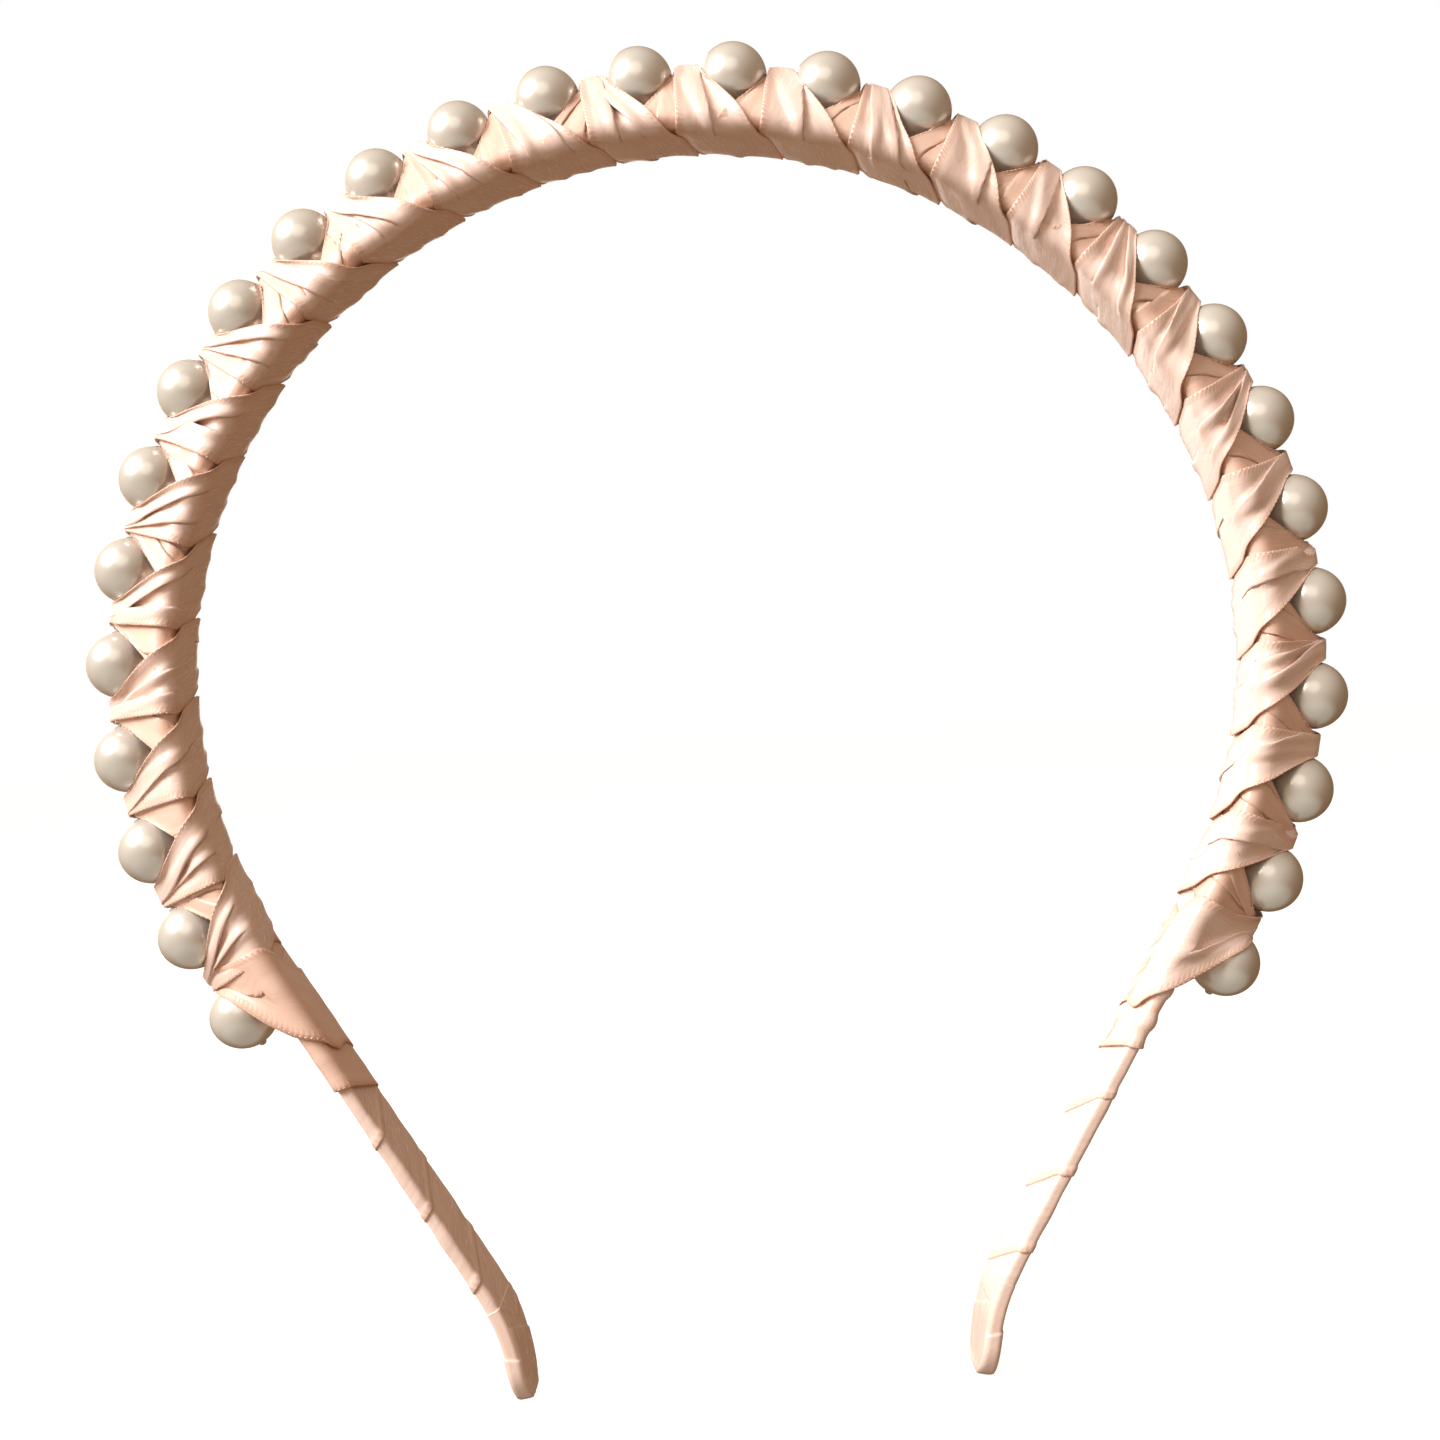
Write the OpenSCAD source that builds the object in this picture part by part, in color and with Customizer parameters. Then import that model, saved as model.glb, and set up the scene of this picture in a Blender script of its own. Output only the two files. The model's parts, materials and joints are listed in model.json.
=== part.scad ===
// Ribbon-wrapped headband with a row of lashed pearls, worn upright: crown up, front towards -Y.
// The origin is on the floor midway between the two tips. "Left" is -X, "right" is +X.

/* [Hoop] */
// Radius of the steel strip's middle line over the crown
crown_r = 64.2; // [60:0.1:70]
// Angle of the crown arc on each side of the top
crown_half_angle = 75; // [72:1:78]
// Radius of the strip's middle line at the sides
side_r = 58; // [54:0.5:64]
// Angle of the side arc, which turns the strip inwards
side_angle = 46; // [42:1:48]
// Length of the straight tail below the side arc
tail_len = 49; // [44:1:56]
// Radius of the outward curl near each tip
tip_r = 22; // [18:1:30]
// Angle of the outward curl near each tip
tip_angle = 20; // [14:1:24]
// Straight length between the curl and the round end
tip_len = 1.2; // [1:0.1:3]

/* [Steel strip] */
// Width of the spring steel strip
strip_w = 8.6; // [7.6:0.1:9.6]
// Thickness of the spring steel strip
strip_t = 1; // [0.8:0.1:1.2]

/* [Pearls] */
// Diameter of one pearl
pearl_d = 8; // [7.6:0.1:8.2]
// Distance from pearl to pearl along their thread
pearl_pitch = 11.1; // [11:0.05:11.3]
// Height of the thread over the strip's middle line
pearl_rise = 6.15; // [6.1:0.05:6.6]
// Diameter of the hole drilled through a pearl
hole_d = 1; // [0.9:0.1:1.4]
// Diameter of the thread that carries the pearls
thread_d = 0.5; // [0.3:0.1:0.5]
// Diameter of the knot behind each end pearl
knot_d = 1.8; // [1.5:0.1:2]

/* [Ribbon] */
// Thickness of the ribbon wound round the strip
wrap_t = 0.35; // [0.25:0.05:0.45]
// Thickness of the crossed ribbon turns under a pearl
under_t = 0.45; // [0.3:0.05:0.5]
// Thickness of the ribbon turns that tie down the pearls
over_t = 0.55; // [0.5:0.05:0.8]
// Length along the hoop of the crossed turns under a pearl
under_len = 7.6; // [7:0.1:7.8]
// Length along the hoop of the gathered turn between two pearls
turn_len = 2.1; // [1.6:0.1:2.2]
// Length of the wider turns that finish the lashing behind each end pearl
end_turn_len = 6; // [4:0.5:8]
// Thickness of the ribbon folded over a tip
fold_t = 0.45; // [0.4:0.05:0.6]
// Length of the fold on the tip's straight and curled part
fold_len = 6; // [4:0.5:8]

/* [Flex] */
// Gap in the wrapping on each side of a flex line
flex_gap = 0.3; // [0.3:0.05:0.5]
// Length along the hoop of the squeezed turn beside a flex line
flex_turn_len = 1.1; // [0.8:0.1:1.2]

/* [Hidden] */
$fn = 64;
PEARLS_PER_SIDE = 14;
CROWN_PEARLS_PER_SIDE = 5;
fit = 0.1;       // between the steel strip and the ribbon round it
layer_gap = 0.05; // between two layers of ribbon
facet_len = 2;   // length of one flat facet along a bent strip

strip_half_t = strip_t / 2;
strip_half_w = strip_w / 2;
bore_half_t = strip_half_t + fit;
bore_half_w = strip_half_w + fit;
wrap_half_t = bore_half_t + wrap_t;
wrap_half_w = bore_half_w + wrap_t;
under_half_t = wrap_half_t + layer_gap;
under_half_w = wrap_half_w + layer_gap;
over_inner = under_half_t + over_t;
over_half_w = under_half_w + over_t;
over_top = pearl_rise + 1.5;
over_shoulder = 1.6;
over_peak_half_w = 0.9;
under_top = pearl_rise - pearl_d / 2 - fit;

// Every place along the hoop is a length u along the pearls' thread, from 0 at the top of the crown.
u_crown = (crown_r + pearl_rise) * crown_half_angle * PI / 180;
u_side = u_crown + (side_r + pearl_rise) * side_angle * PI / 180;
u_tail = u_side + tail_len;
u_tip = u_tail + tip_r * tip_angle * PI / 180;
u_end = u_tip + tip_len;
u_flex = CROWN_PEARLS_PER_SIDE * pearl_pitch;
u_last_pearl = (PEARLS_PER_SIDE - 0.5) * pearl_pitch;
u_knot = u_last_pearl + pearl_d / 2 + knot_d / 2 + 0.05;
u_end_turn = u_knot + knot_d / 2 + 0.4;
u_fold = u_tip - fold_len;

// Centres of the side arc and of the tip's curl, in the hoop's plane with the crown's centre at 0.
side_c = (crown_r - side_r) * [sin(crown_half_angle), cos(crown_half_angle)];
tail_bearing = crown_half_angle + side_angle;
tail_out = [sin(tail_bearing), cos(tail_bearing)];
tail_down = [cos(tail_bearing), -sin(tail_bearing)];
tail_start = side_c + side_r * tail_out;
tail_end = tail_start + tail_len * tail_down;
tip_c = tail_end + tip_r * tail_out;
tip_bearing = tail_bearing - tip_angle;
tip_out = [sin(tip_bearing), cos(tip_bearing)];
tip_down = [cos(tip_bearing), -sin(tip_bearing)];
tip_end = tip_c - tip_r * tip_out;
strip_end = tip_end + tip_len * tip_down;
fold_half_t = bore_half_t + fold_t;
fold_half_w = bore_half_w + fold_t;
// The floor is under the lowest point of the folded tips.
floor_drop = -(strip_end[1] + fold_half_w * tip_down[1] + fold_half_t * tip_out[1]);

function degrees_of(length, radius) = length / radius * 180 / PI;

// The direction that faces away from the head at u, clockwise from straight up.
function bearing(u) =
    u < 0 ? -bearing(-u) :
    u < u_crown ? degrees_of(u, crown_r + pearl_rise) :
    u < u_side ? crown_half_angle + degrees_of(u - u_crown, side_r + pearl_rise) :
    u < u_tail ? tail_bearing :
    u < u_tip ? tail_bearing - degrees_of(u - u_tail, tip_r) :
    tip_bearing;

function outward(u) = [sin(bearing(u)), cos(bearing(u))];

// The point of the strip's middle line at u, for u over 0.
function middle(u) =
    u < u_crown ? crown_r * outward(u) :
    u < u_side ? side_c + side_r * outward(u) :
    u < u_tail ? tail_start + (u - u_side) * tail_down :
    u < u_tip ? tip_c - tip_r * outward(u) :
    tip_end + (u - u_tip) * tip_down;

function spot(u, rise) =
    u < 0 ? [-spot(-u, rise)[0], spot(-u, rise)[1]] : middle(u) + rise * outward(u);

function two_digits(n) = str(n < 10 ? "0" : "", n);

PEARL_NAMES = [for (n = [1 : 2 * PEARLS_PER_SIDE]) str("pearl_", two_digits(n))];

STEEL = "#8f9296";
THREAD = "#e9e4da";
PEARL = "#d8cfbf";
BLUSH = "#efcdb6";
BLUSH_DEEP = "#e3b79d";

// Stands the flat hoop up on the floor: its plane becomes XZ and its width runs along Y.
module upright() {
    translate([0, 0, floor_drop]) rotate([90, 0, 0]) children();
}

// The same piece on the left side.
module left() {
    mirror([1, 0, 0]) children();
}

// Puts children at u: x along the hoop, y away from the head, z across the width.
module station(u, rise = 0) {
    translate(spot(u, rise)) rotate([0, 0, -bearing(u)]) children();
}

// The places along one face of a bent strip, from one end to the other.
function rail(from, to, rise) =
    let (facets = ceil((to - from) / facet_len))
    [for (k = [0 : facets]) spot(from + (to - from) * k / facets, rise)];

function backwards(points) = [for (k = [len(points) - 1 : -1 : 0]) points[k]];

// A bent strip between two places along the hoop, from inner to outer over the steel's middle line.
module band(from, to, inner, outer, half_w) {
    linear_extrude(2 * half_w, center = true)
        polygon(concat(rail(from, to, inner), backwards(rail(from, to, outer))));
}

// What a round end takes off the square end of a strip. The end is a little flatter than a half circle.
module tip_corners(half_t, half_w) {
    round_r = 1.08 * half_w;
    rim = half_w + 1;
    station(u_end) rotate([90, 0, 0]) linear_extrude(2 * half_t + 2, center = true)
        polygon(concat(
            [for (a = [-80 : 10 : 80]) [half_w - round_r + round_r * cos(a), round_r * sin(a)]],
            [[0, rim], [rim, rim], [rim, -rim], [0, -rim]]
        ));
}

// The last stretch of the right tail with its round end.
module rounded_tail(from, half_t, half_w) {
    difference() {
        band(from, u_end + half_w, -half_t, half_t, half_w);
        tip_corners(half_t, half_w);
    }
}

module sleeve(from, to) {
    difference() {
        band(from, to, -wrap_half_t, wrap_half_t, wrap_half_w);
        band(from - 1, to + 1, -bore_half_t, bore_half_t, bore_half_w);
    }
}

// The crossed turns under one pearl: a ring round the wrapped strip, thicker where the pearl sits.
module under_turn(u) {
    from = u - under_len / 2;
    to = u + under_len / 2;
    difference() {
        band(from, to, -under_half_t - under_t, under_top, under_half_w + under_t);
        band(from - 1, to + 1, -under_half_t, under_half_t, under_half_w);
    }
}

// The gathered turn between two pearls: it rises from the band's edges to a peak over the thread.
module over_turn(u, length) {
    station(u) rotate([0, 90, 0]) difference() {
        linear_extrude(length, center = true) difference() {
            polygon([
                [-over_half_w, -over_inner],
                [over_half_w, -over_inner],
                [over_half_w, over_shoulder],
                [over_peak_half_w, over_top],
                [-over_peak_half_w, over_top],
                [-over_half_w, over_shoulder]
            ]);
            square([2 * under_half_w, 2 * under_half_t], center = true);
        }
        translate([0, pearl_rise, 0]) cylinder(h = length + 1, d = hole_d, center = true, $fn = 32);
    }
}

// The last turns of the lashing, wound tight round the wrapped strip behind the end pearl.
module end_turn() {
    difference() {
        band(u_end_turn, u_end_turn + end_turn_len, -over_inner, over_inner, over_half_w);
        band(u_end_turn - 1, u_end_turn + end_turn_len + 1, -under_half_t, under_half_t, under_half_w);
    }
}

module core_strip() {
    reach = u_end + strip_half_w;
    color(STEEL) upright() difference() {
        band(-reach, reach, -strip_half_t, strip_half_t, strip_half_w);
        tip_corners(strip_half_t, strip_half_w);
        left() tip_corners(strip_half_t, strip_half_w);
    }
}

// The thread through all the pearls, with a knot behind each end pearl.
module bead_thread() {
    thread_half = thread_d / 2;
    color(THREAD) upright() {
        band(-u_knot, u_knot, pearl_rise - thread_half, pearl_rise + thread_half, thread_half);
        station(u_knot, pearl_rise) sphere(d = knot_d, $fn = 32);
        station(-u_knot, pearl_rise) sphere(d = knot_d, $fn = 32);
    }
}

// Pearl n, counted clockwise from the lower left.
module pearl(n) {
    u = (n - PEARLS_PER_SIDE - 0.5) * pearl_pitch;
    color(PEARL) upright() station(u, pearl_rise) rotate([0, 90, 0]) difference() {
        sphere(d = pearl_d);
        cylinder(h = pearl_d + 1, d = hole_d, center = true, $fn = 32);
    }
}

module crown_wrap() {
    color(BLUSH) upright() sleeve(-u_flex + flex_gap, u_flex - flex_gap);
}

module arm_wrap() {
    color(BLUSH) upright() sleeve(u_flex + flex_gap, u_fold - layer_gap);
}

module crown_under_lashing() {
    color(BLUSH_DEEP) upright()
        for (n = [0 : 2 * CROWN_PEARLS_PER_SIDE - 1])
            under_turn((n - CROWN_PEARLS_PER_SIDE + 0.5) * pearl_pitch);
}

module arm_under_lashing() {
    color(BLUSH_DEEP) upright()
        for (n = [CROWN_PEARLS_PER_SIDE : PEARLS_PER_SIDE - 1])
            under_turn((n + 0.5) * pearl_pitch);
}

module crown_over_lashing() {
    last = CROWN_PEARLS_PER_SIDE - 1;
    // Beside a flex line the turn is squeezed against the crown's last pearl.
    u_squeezed = u_flex - flex_turn_len / 2 - fit;
    color(BLUSH) upright() {
        for (n = [-last : last]) over_turn(n * pearl_pitch, turn_len);
        over_turn(u_squeezed, flex_turn_len);
        over_turn(-u_squeezed, flex_turn_len);
    }
}

module arm_over_lashing() {
    color(BLUSH) upright() {
        for (n = [CROWN_PEARLS_PER_SIDE + 1 : PEARLS_PER_SIDE - 1])
            over_turn(n * pearl_pitch, turn_len);
        end_turn();
    }
}

// The end of the ribbon, folded over the strip's tip and glued.
module tip_fold() {
    color(BLUSH_DEEP) upright() difference() {
        rounded_tail(u_fold, fold_half_t, fold_half_w);
        rounded_tail(u_fold - 1, bore_half_t, bore_half_w);
    }
}

core_strip();
bead_thread();
crown_wrap();
left() arm_wrap();  // left_arm_wrap
arm_wrap();  // right_arm_wrap
crown_under_lashing();
left() arm_under_lashing();  // left_under_lashing
arm_under_lashing();  // right_under_lashing
crown_over_lashing();
left() arm_over_lashing();  // left_over_lashing
arm_over_lashing();  // right_over_lashing
left() tip_fold();  // left_tip_fold
tip_fold();  // right_tip_fold
for (n = [1 : 2 * PEARLS_PER_SIDE])
    pearl(n);
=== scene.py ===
import json
import math

import bmesh
import bpy
import numpy as np
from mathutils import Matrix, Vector


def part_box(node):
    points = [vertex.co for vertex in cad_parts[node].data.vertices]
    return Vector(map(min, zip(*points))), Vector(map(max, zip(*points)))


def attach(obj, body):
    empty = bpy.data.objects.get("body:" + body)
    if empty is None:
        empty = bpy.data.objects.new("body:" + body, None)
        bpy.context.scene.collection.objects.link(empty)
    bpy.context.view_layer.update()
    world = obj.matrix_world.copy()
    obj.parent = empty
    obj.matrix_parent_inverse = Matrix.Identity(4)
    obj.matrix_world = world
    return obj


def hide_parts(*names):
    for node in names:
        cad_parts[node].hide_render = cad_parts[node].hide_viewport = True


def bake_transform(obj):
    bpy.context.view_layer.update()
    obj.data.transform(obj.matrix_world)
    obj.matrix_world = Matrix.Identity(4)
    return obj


# A ribbon-wrapped headband with a row of lashed pearls. Shapes are worked out in millimetres in
# hoop coordinates: u along the pearls' thread from the crown's top (clockwise is positive), o
# outwards from the steel strip's middle line, and y across the strip (the front is -y).

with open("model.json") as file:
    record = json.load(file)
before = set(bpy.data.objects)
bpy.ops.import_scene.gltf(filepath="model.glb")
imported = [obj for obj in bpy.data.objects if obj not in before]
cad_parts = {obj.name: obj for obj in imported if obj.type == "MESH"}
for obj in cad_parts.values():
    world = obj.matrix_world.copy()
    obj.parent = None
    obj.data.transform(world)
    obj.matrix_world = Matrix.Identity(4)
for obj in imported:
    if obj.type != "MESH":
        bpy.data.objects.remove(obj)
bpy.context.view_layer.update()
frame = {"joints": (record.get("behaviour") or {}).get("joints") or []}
MM = 0.001

# ---- Hoop: the driving dimensions that part.scad gives --------------------------------------
CROWN_R = 64.2
CROWN_HALF_ANGLE = math.radians(75)
SIDE_R = 58.0
SIDE_ANGLE = math.radians(46)
TAIL_LEN = 49.0
TIP_R = 22.0
TIP_ANGLE = math.radians(20)
TIP_LEN = 1.2
FOLD_LEN = 6.0
STRIP_W = 8.6
STRIP_T = 1.0
PEARL_D = 8.0
PITCH = 11.1
RISE = 6.15
HOLE_R = 0.5
THREAD_D = 0.5
KNOT_D = 1.2        # pulled tight, to two thirds of the loose knot's room
KNOT_SUNK = 0.3     # how far inside the end pearl's outline the knot's middle lies
PEARLS_PER_SIDE = 14
CROWN_PEARLS_PER_SIDE = 5

U_CROWN = (CROWN_R + RISE) * CROWN_HALF_ANGLE
U_SIDE = U_CROWN + (SIDE_R + RISE) * SIDE_ANGLE
U_TAIL = U_SIDE + TAIL_LEN
U_TIP = U_TAIL + TIP_R * TIP_ANGLE
U_END = U_TIP + TIP_LEN
U_FLEX = CROWN_PEARLS_PER_SIDE * PITCH
U_LAST_PEARL = (PEARLS_PER_SIDE - 0.5) * PITCH
U_KNOT = U_LAST_PEARL + PEARL_D / 2 - KNOT_SUNK
U_FOLD = U_TIP - FOLD_LEN
FOLD_HALF_W = STRIP_W / 2 + 0.55
TAIL_BEARING = CROWN_HALF_ANGLE + SIDE_ANGLE
TIP_BEARING = TAIL_BEARING - TIP_ANGLE

# The hinge lies on the strip's middle line, so its height gives the crown's centre.
hinge_z = frame["joints"][0]["pos_m"][2] / MM
CROWN_Z = hinge_z - CROWN_R * math.cos(U_FLEX / (CROWN_R + RISE))


def direction(angle):
    """The unit vector along x and z at an angle clockwise from straight up."""
    return np.array([math.sin(angle), math.cos(angle)])


SIDE_C = (CROWN_R - SIDE_R) * direction(CROWN_HALF_ANGLE)
TAIL_DOWN = np.array([math.cos(TAIL_BEARING), -math.sin(TAIL_BEARING)])
TAIL_START = SIDE_C + SIDE_R * direction(TAIL_BEARING)
TAIL_END = TAIL_START + TAIL_LEN * TAIL_DOWN
TIP_C = TAIL_END + TIP_R * direction(TAIL_BEARING)
TIP_DOWN = np.array([math.cos(TIP_BEARING), -math.sin(TIP_BEARING)])
TIP_END = TIP_C - TIP_R * direction(TIP_BEARING)


def bearing(u):
    """The angle of the outward direction at u over 0, clockwise from straight up."""
    return np.select(
        [u < U_CROWN, u < U_SIDE, u < U_TAIL, u < U_TIP],
        [
            u / (CROWN_R + RISE),
            CROWN_HALF_ANGLE + (u - U_CROWN) / (SIDE_R + RISE),
            TAIL_BEARING,
            TAIL_BEARING - (u - U_TAIL) / TIP_R,
        ],
        TIP_BEARING,
    )


def place(u, o, y):
    """Points in metres in the row frame, from arrays of hoop coordinates in millimetres."""
    u, o, y = np.broadcast_arrays(*(np.asarray(a, float) for a in (u, o, y)))
    far = np.abs(u)
    angle = bearing(far)
    out = np.stack([np.sin(angle), np.cos(angle)], -1)
    past_tail, past_tip = (far - U_SIDE)[..., None], (far - U_TIP)[..., None]
    zones = [far < U_CROWN, far < U_SIDE, far < U_TAIL, far < U_TIP]
    middle = np.select(
        [z[..., None] for z in zones],
        [
            CROWN_R * out,
            SIDE_C + SIDE_R * out,
            TAIL_START + past_tail * TAIL_DOWN,
            TIP_C - TIP_R * out,
        ],
        TIP_END + past_tip * TIP_DOWN,
    )
    at = middle + o[..., None] * out
    return np.stack([np.where(u < 0, -1, 1) * at[..., 0], y, at[..., 1] + CROWN_Z], -1) * MM


def smooth(t):
    """Eases from 0 to 1 as t does, and stays level beyond."""
    t = np.clip(t, 0, 1)
    return t * t * (3 - 2 * t)


# ---- Materials ------------------------------------------------------------------------------
class Nodes:
    """Short calls for building the node tree of a material or a world."""

    def __init__(self, owner, shader="Principled BSDF"):
        owner.use_nodes = True
        self.owner = owner
        self.tree = owner.node_tree
        self.shader = self.tree.nodes[shader]

    def add(self, kind, **values):
        node = self.tree.nodes.new(kind)
        for key, value in values.items():
            if key in node.inputs:
                node.inputs[key].default_value = value
            else:
                setattr(node, key, value)
        return node

    def link(self, source, target):
        self.tree.links.new(source, target)
        return target.node

    def math(self, operation, a, b=None):
        node = self.add("ShaderNodeMath", operation=operation)
        for socket, value in zip(node.inputs, (a, b)):
            if value is None:
                continue
            if isinstance(value, (int, float)):
                socket.default_value = value
            else:
                self.link(value, socket)
        return node.outputs[0]

    def wave(self, a, b, slant, period):
        """A sine along a + slant * b that repeats every period."""
        run = self.math("ADD", a, self.math("MULTIPLY", b, slant))
        return self.math("SINE", self.math("MULTIPLY", run, math.tau / period))

    def blend(self, a, b, share):
        """a * share + b * (1 - share), where share is a number."""
        rest = self.math("MULTIPLY", b, 1 - share)
        return self.math("ADD", self.math("MULTIPLY", a, share), rest)

    def ramp(self, value, low, high, low_to=0.0, high_to=1.0):
        node = self.add("ShaderNodeMapRange", interpolation_type="SMOOTHSTEP")
        self.link(value, node.inputs["Value"])
        limits = {"From Min": low, "From Max": high, "To Min": low_to, "To Max": high_to}
        for key, number in limits.items():
            node.inputs[key].default_value = number
        return node.outputs["Result"]

    def towards(self, vector, direction):
        """The dot product of a vector output and a fixed direction."""
        node = self.add("ShaderNodeVectorMath", operation="DOT_PRODUCT")
        node.inputs[1].default_value = direction
        self.link(vector, node.inputs[0])
        return node.outputs["Value"]

    def mix(self, factor, a, b):
        node = self.add("ShaderNodeMix", data_type="RGBA")
        self.link(factor, node.inputs["Factor"])
        for socket, value in ((node.inputs["A"], a), (node.inputs["B"], b)):
            if isinstance(value, tuple):
                socket.default_value = (*value, 1)
            else:
                self.link(value, socket)
        return node.outputs["Result"]

    def noise(self, vector, scale, stretch=(1, 1, 1), detail=3.0):
        mapping = self.add("ShaderNodeMapping", Scale=stretch)
        self.link(vector, mapping.inputs["Vector"])
        node = self.add("ShaderNodeTexNoise", Scale=scale, Detail=detail)
        self.link(mapping.outputs[0], node.inputs["Vector"])
        return node.outputs["Fac"]

    def bump(self, height, depth, strength=1.0, under=None):
        node = self.add("ShaderNodeBump", Distance=depth, Strength=strength)
        self.link(height, node.inputs["Height"])
        if under is not None:
            self.link(under, node.inputs["Normal"])
        return node.outputs["Normal"]

    def feed(self, key, source):
        self.link(source, self.shader.inputs[key])

    def set(self, **values):
        for key, value in values.items():
            self.shader.inputs[key.replace("_", " ")].default_value = value


RIBBON_W = 10.0
SELVAGE_W = 0.95
PICOT_PITCH = 0.65
PICOT_R = 0.13
WARP_PITCH, WEFT_PITCH = 0.36, 0.42


def new_material(name):
    return Nodes(bpy.data.materials.new(name))


def satin(name, light, deep, selvage_colour_with_groove_shade, gloss):
    """Double-faced satin: UVs are millimetres along and across the ribbon."""
    n = new_material(name)
    uv = n.add("ShaderNodeUVMap", uv_map="UVMap").outputs[0]
    split = n.add("ShaderNodeSeparateXYZ")
    n.link(uv, split.inputs[0])
    along, across = split.outputs[0], split.outputs[1]
    from_edge = n.math("SUBTRACT", RIBBON_W / 2, n.math("ABSOLUTE", across))
    selvage = n.ramp(from_edge, SELVAGE_W, 0.6)
    # Floats of the satin run along the ribbon as fine uneven lines, bound by short cross stitches.
    floats = n.noise(uv, 1.0, (0.45, 5.2, 1), 2.0)
    warp, weft = n.wave(across, along, 0.5, WARP_PITCH), n.wave(along, across, -0.5, WEFT_PITCH)
    twill = n.math("MULTIPLY", n.math("MULTIPLY", warp, weft), 0.3)
    weave = n.math("ADD", n.math("MULTIPLY", floats, 0.15), twill)
    ribs = n.math("MULTIPLY", n.wave(along, across, 0.0, PICOT_PITCH), 0.6)
    inside = n.math("MULTIPLY", weave, n.math("SUBTRACT", 1.0, selvage))
    height = n.math("ADD", inside, n.math("MULTIPLY", ribs, selvage))
    rumple = n.noise(uv, 0.35, (0.6, 1.6, 1), 3.0)
    slub = n.noise(uv, 1.0, (0.2, 2.6, 1), 2.0)
    # The colour runs from deep to light partly by a random slub, a tone of the ribbon itself, and partly
    # by the rumple bump's height, which gives the rumples' hollows the deep colour as painted shade.
    slub_tone_and_rumple_shade = n.ramp(n.blend(slub, rumple, 0.6), 0.2, 0.8)
    # The selvage has a deeper colour of its own, and is deeper still in the grooves between its ribs,
    # where the colour is painted shade.
    selvage_mix_with_groove_shade = n.math("MULTIPLY", n.ramp(ribs, 0.5, -0.5, 0.35, 0.9), selvage)
    n.feed("Base Color", n.mix(selvage_mix_with_groove_shade, n.mix(slub_tone_and_rumple_shade, deep, light), selvage_colour_with_groove_shade))
    rough = n.ramp(floats, 0.25, 0.75, gloss + 0.02, gloss - 0.01)
    n.feed("Roughness", n.math("ADD", rough, n.math("MULTIPLY", selvage, 0.2)))
    coarse = n.bump(rumple, 0.25 * MM, 0.5)
    n.feed("Normal", n.bump(height, 0.04 * MM, 0.4, coarse))
    tangent = n.add("ShaderNodeTangent", direction_type="UV_MAP", uv_map="UVMap")
    n.feed("Tangent", tangent.outputs[0])
    n.set(Anisotropic=0.6, Anisotropic_Rotation=0.25, Specular_IOR_Level=0.75)
    n.set(Sheen_Weight=0.18, Sheen_Roughness=0.35)
    n.set(Sheen_Tint=(1.0, 0.9, 0.82, 1))
    return n.owner


def pearl_lustre():
    """Glass pearl: greige nacre under a clear coat, with painted shade that turns it deeper and browner
    towards its outline as seen.
    """
    n = new_material("pearl_nacre")
    where = n.add("ShaderNodeTexCoord").outputs["Object"]
    facing = n.add("ShaderNodeLayerWeight", Blend=0.35).outputs["Facing"]
    # Painted shade: the colour goes deeper and browner where the surface turns away from the view.
    n.feed("Base Color", n.mix(n.ramp(facing, 0.15, 0.95), (0.76, 0.74, 0.67), (0.66, 0.60, 0.50)))
    skin = n.noise(where, 1500.0, (1, 1, 1), 2.0)
    n.feed("Normal", n.bump(skin, 0.01 * MM, 0.35))
    n.set(Roughness=0.25, Metallic=0.4, Coat_Weight=0.6, Coat_Roughness=0.08, Coat_IOR=1.5)
    return n.owner


def spring_steel():
    """Steel brushed along the strip."""
    n = new_material("spring_steel")
    where = n.add("ShaderNodeTexCoord").outputs["Object"]
    brushed = n.noise(where, 900.0, (1, 0.05, 1), 4.0)
    n.feed("Base Color", n.mix(brushed, (0.42, 0.42, 0.43), (0.58, 0.58, 0.59)))
    n.feed("Roughness", n.ramp(brushed, 0.3, 0.7, 0.28, 0.42))
    n.feed("Normal", n.bump(brushed, 0.01 * MM, 0.5))
    n.set(Metallic=1.0)
    return n.owner


def twisted_thread():
    """Plied thread: the twist is a slanted wave over the UVs, which are millimetres and radians."""
    n = new_material("bead_thread")
    uv = n.add("ShaderNodeUVMap", uv_map="UVMap").outputs[0]
    split = n.add("ShaderNodeSeparateXYZ")
    n.link(uv, split.inputs[0])
    length, round_it = (n.math("MULTIPLY", split.outputs[i], rate) for i, rate in ((0, 7.0), (1, 8.0)))
    ply = n.math("SINE", n.math("ADD", length, round_it))
    # The colour is darker where the twist's wave is low, in the grooves between plies, as painted shade.
    n.feed("Base Color", n.mix(n.ramp(ply, -1, 1), (0.62, 0.52, 0.42), (0.86, 0.79, 0.70)))
    n.feed("Normal", n.bump(ply, 0.08 * MM, 0.8))
    n.set(Roughness=0.62, Sheen_Weight=0.3)
    return n.owner


OVER_SATIN = satin("blush_satin", (0.94, 0.77, 0.69), (0.89, 0.65, 0.54), (0.82, 0.55, 0.43), 0.26)
# The under lashing and the hidden wraps are the same ribbon as the over lashing, given a deeper colour as
# painted shade for lying under it.
SHADED_UNDER_SATIN = satin("blush_satin_under_painted_shade", (0.91, 0.67, 0.55), (0.84, 0.55, 0.42), (0.78, 0.48, 0.35), 0.30)
NACRE = pearl_lustre()
STEEL = spring_steel()
THREAD = twisted_thread()


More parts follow.
